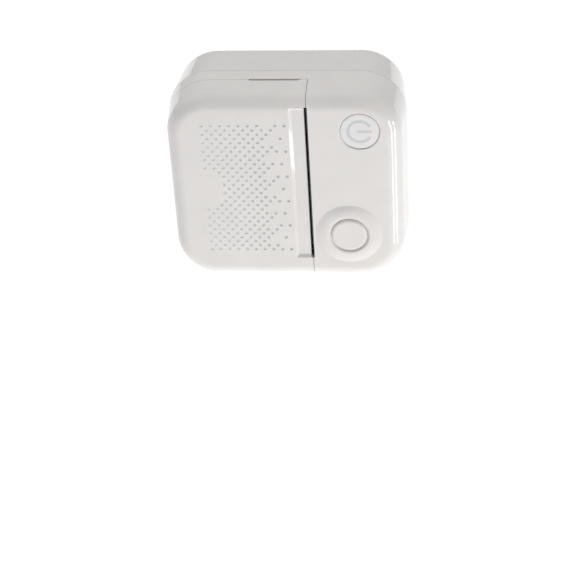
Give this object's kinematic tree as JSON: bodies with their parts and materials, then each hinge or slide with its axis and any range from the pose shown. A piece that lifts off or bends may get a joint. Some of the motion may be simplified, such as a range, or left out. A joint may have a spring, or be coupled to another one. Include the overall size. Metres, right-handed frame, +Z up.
{
  "type": "thermal label printer",
  "caption": "Palm-size thermal label printer: rounded-square shell, side-hinged lid with perforation pattern, tear slot, round power and release buttons, label roll inside.",
  "frame": {"origin": "centre of the bounding box in plan, at the level of the lower edge that the printer stands on", "axes": "+Z up along the paper slot, -Y out of the front face, +X to the right of a person facing the front"},
  "size_m": [0.085, 0.0446, 0.0772],
  "materials": {
    "casing_plastic": "warm white, satin gloss moulded shell",
    "grey_plastic": "light grey, fine matte inner moulding",
    "ivory_plastic": "ivory acetal, low sheen",
    "black_plastic": "black, matte",
    "button_plastic": "cool white, faintly translucent",
    "icon_grey": "light grey inlay",
    "steel": "bright steel",
    "plated_steel": "nickel plated sheet",
    "aluminium": "extruded, fine brushed",
    "brass": "turned brass",
    "platen_rubber": "ground silicone rubber",
    "foot_rubber": "grey rubber pad",
    "head_ceramic": "glazed alumina strip",
    "flex_film": "amber polyimide film",
    "board_laminate": "green solder mask",
    "led_white": "clear epoxy",
    "battery_film": "foil pouch wrap",
    "foam": "closed-cell foam pad",
    "core_board": "spiral wound paperboard",
    "liner_paper": "glazed pale blue release liner",
    "label_paper": "thermal label stock in light colours"
  },
  "bodies": {
    "casing": {"front_shell": "casing_plastic", "back_shell": "casing_plastic", "hinge_pin": "steel", "mechanism_frame": "grey_plastic", "motor": "plated_steel", "idler_axle": "steel", "paper_bay": "grey_plastic", "label_web": "liner_paper", "gap_sensor": "black_plastic", "circuit_board": "board_laminate", "power_switch": "plated_steel", "status_led": "led_white", "usb_socket": "plated_steel", "usb_board": "board_laminate", "lid_switch": "black_plastic", "battery": "battery_film", "battery_pad": "foam", "frame_screws": "steel", "back_screws": "steel", "rubber_feet": "foot_rubber", "head_pivot_pin": "steel", "head_springs": "steel", "head_flex": "flex_film", "latch_spring": "steel"},
    "lid": {"lid_cover": "casing_plastic", "lid_frame": "grey_plastic", "tear_bar": "steel", "platen_bushes": "ivory_plastic"},
    "platen": {"platen_rubber": "platen_rubber", "platen_shaft": "steel", "platen_gear": "ivory_plastic"},
    "idler": {"idler_gear": "ivory_plastic"},
    "pinion": {"motor_pinion": "brass"},
    "head": {"print_head": "head_ceramic", "head_heatsink": "aluminium"},
    "roll": {"label_core": "core_board", "label_roll": "liner_paper", "label_patches": "label_paper"},
    "power_key": {"power_button": "button_plastic", "power_icon": "icon_grey", "switch_plunger": "black_plastic"},
    "release_key": {"release_button": "casing_plastic"},
    "latch": {"latch_slide": "ivory_plastic", "latch_hook": "steel"}
  },
  "joints": [
    {"name": "lid_hinge", "type": "hinge", "parent": "casing", "child": "lid", "pos_m": [-0.0412, -0.00717, 0.0386], "axis": [0, 0, -1], "range_deg": [0, 90], "deforming": ["latch_hook"]},
    {"name": "platen_spin", "type": "hinge", "parent": "lid", "child": "platen", "pos_m": [0.0036, -0.01208, 0.04115], "axis": [0, 0, 1], "continuous": true},
    {"name": "idler_spin", "type": "hinge", "parent": "casing", "child": "idler", "pos_m": [0.0039, -0.00362, 0.005], "axis": [0, 0, 1], "continuous": true},
    {"name": "pinion_spin", "type": "hinge", "parent": "casing", "child": "pinion", "pos_m": [0.0055, 0.00469, 0.005], "axis": [0, 0, 1], "continuous": true},
    {"name": "roll_spin", "type": "hinge", "parent": "casing", "child": "roll", "pos_m": [-0.017, -0.00308, 0.04115], "axis": [0, 0, 1], "continuous": true},
    {"name": "head_pivot", "type": "hinge", "parent": "casing", "child": "head", "pos_m": [0.0107, -0.00647, 0.04115], "axis": [0, 0, 1], "range_deg": [0, 1.5], "stiffness_Nm_per_rad": 0.05, "springref_deg": -11.46, "deforming": ["head_springs"]},
    {"name": "power_press", "type": "slide", "parent": "casing", "child": "power_key", "axis": [0, 1, 0], "range_m": [0, 0.0006], "stiffness_N_per_m": 200, "springref_m": -0.002},
    {"name": "release_press", "type": "slide", "parent": "casing", "child": "release_key", "axis": [0, 1, 0], "range_m": [0, 0.002], "stiffness_N_per_m": 200, "springref_m": -0.003},
    {"name": "latch_travel", "type": "slide", "parent": "casing", "child": "latch", "axis": [1, 0, 0], "range_m": [0, 0.002], "deforming": ["latch_spring"]}
  ],
  "couplings": [
    {"joint": "idler_spin", "follows": "platen_spin", "ratio": -1.625},
    {"joint": "pinion_spin", "follows": "platen_spin", "ratio": 5.2},
    {"joint": "roll_spin", "follows": "platen_spin", "ratio": 0.35294},
    {"joint": "latch_travel", "follows": "release_press", "ratio": 1}
  ]
}
